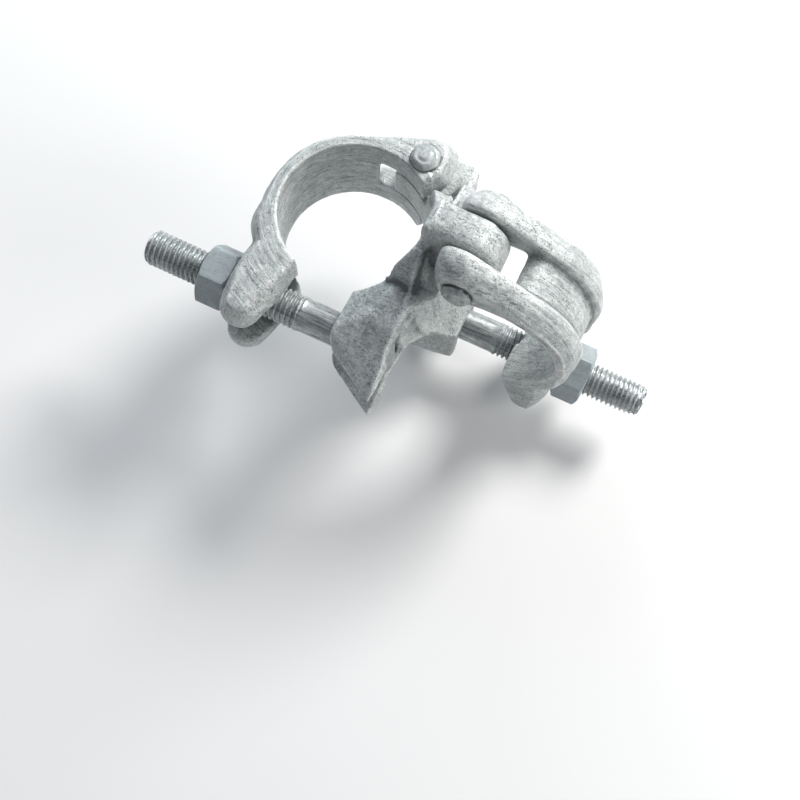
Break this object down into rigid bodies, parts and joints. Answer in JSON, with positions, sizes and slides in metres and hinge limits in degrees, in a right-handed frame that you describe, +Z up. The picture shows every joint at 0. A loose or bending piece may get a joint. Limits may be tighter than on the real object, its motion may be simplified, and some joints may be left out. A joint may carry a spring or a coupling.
{
  "type": "right-angle scaffold coupler",
  "caption": "Drop-forged galvanised steel coupler that clamps two scaffold tubes at right angles, with hinged flaps and swinging T-bolts.",
  "frame": {"origin": "on the axis of the upright tube, at the middle of its jaw", "axes": "+Z up along the upright tube, +X towards the ledger tube, +Y along the ledger tube towards the upright jaw's hinge"},
  "size_m": [0.17, 0.0917, 0.0917],
  "materials": {
    "galvanised_forging": "rough hot-dip galvanised forging, mottled and pitted",
    "galvanised_rivet": "hammered rivet head under the same zinc",
    "galvanised_bolt": "galvanised machine thread and smooth shank",
    "zinc_nut": "smooth bluish zinc"
  },
  "bodies": {
    "body": {"coupler_body": "galvanised_forging"},
    "upright_flap_body": {"upright_flap": "galvanised_forging", "upright_hinge_rivet": "galvanised_rivet"},
    "upright_bolt_body": {"upright_t_bolt": "galvanised_bolt"},
    "upright_nut_body": {"upright_nut": "zinc_nut"},
    "ledger_flap_body": {"ledger_flap": "galvanised_forging", "ledger_hinge_rivet": "galvanised_rivet"},
    "ledger_bolt_body": {"ledger_t_bolt": "galvanised_bolt"},
    "ledger_nut_body": {"ledger_nut": "zinc_nut"}
  },
  "joints": [
    {"name": "upright_flap_hinge", "type": "hinge", "parent": "body", "child": "upright_flap_body", "pos_m": [0.0123, 0.0274, 0], "axis": [0, 0, -1], "range_deg": [0, 100]},
    {"name": "upright_bolt_swing", "type": "hinge", "parent": "body", "child": "upright_bolt_body", "pos_m": [0.0235, -0.0327, 0], "axis": [0, 0, 1], "range_deg": [0, 90]},
    {"name": "upright_nut_travel", "type": "slide", "parent": "upright_bolt_body", "child": "upright_nut_body", "axis": [-1, 0, 0], "range_m": [0, 0.02]},
    {"name": "ledger_flap_hinge", "type": "hinge", "parent": "body", "child": "ledger_flap_body", "pos_m": [0.0417, 0, 0.0274], "axis": [0, -1, 0], "range_deg": [0, 100]},
    {"name": "ledger_bolt_swing", "type": "hinge", "parent": "body", "child": "ledger_bolt_body", "pos_m": [0.0305, 0, -0.0327], "axis": [0, 1, 0], "range_deg": [0, 90]},
    {"name": "ledger_nut_travel", "type": "slide", "parent": "ledger_bolt_body", "child": "ledger_nut_body", "axis": [1, 0, 0], "range_m": [0, 0.02]}
  ],
  "couplings": [
    {"joint": "upright_flap_hinge", "follows": "upright_nut_travel", "rad_per_m": 12.2},
    {"joint": "ledger_flap_hinge", "follows": "ledger_nut_travel", "rad_per_m": 12.2}
  ]
}
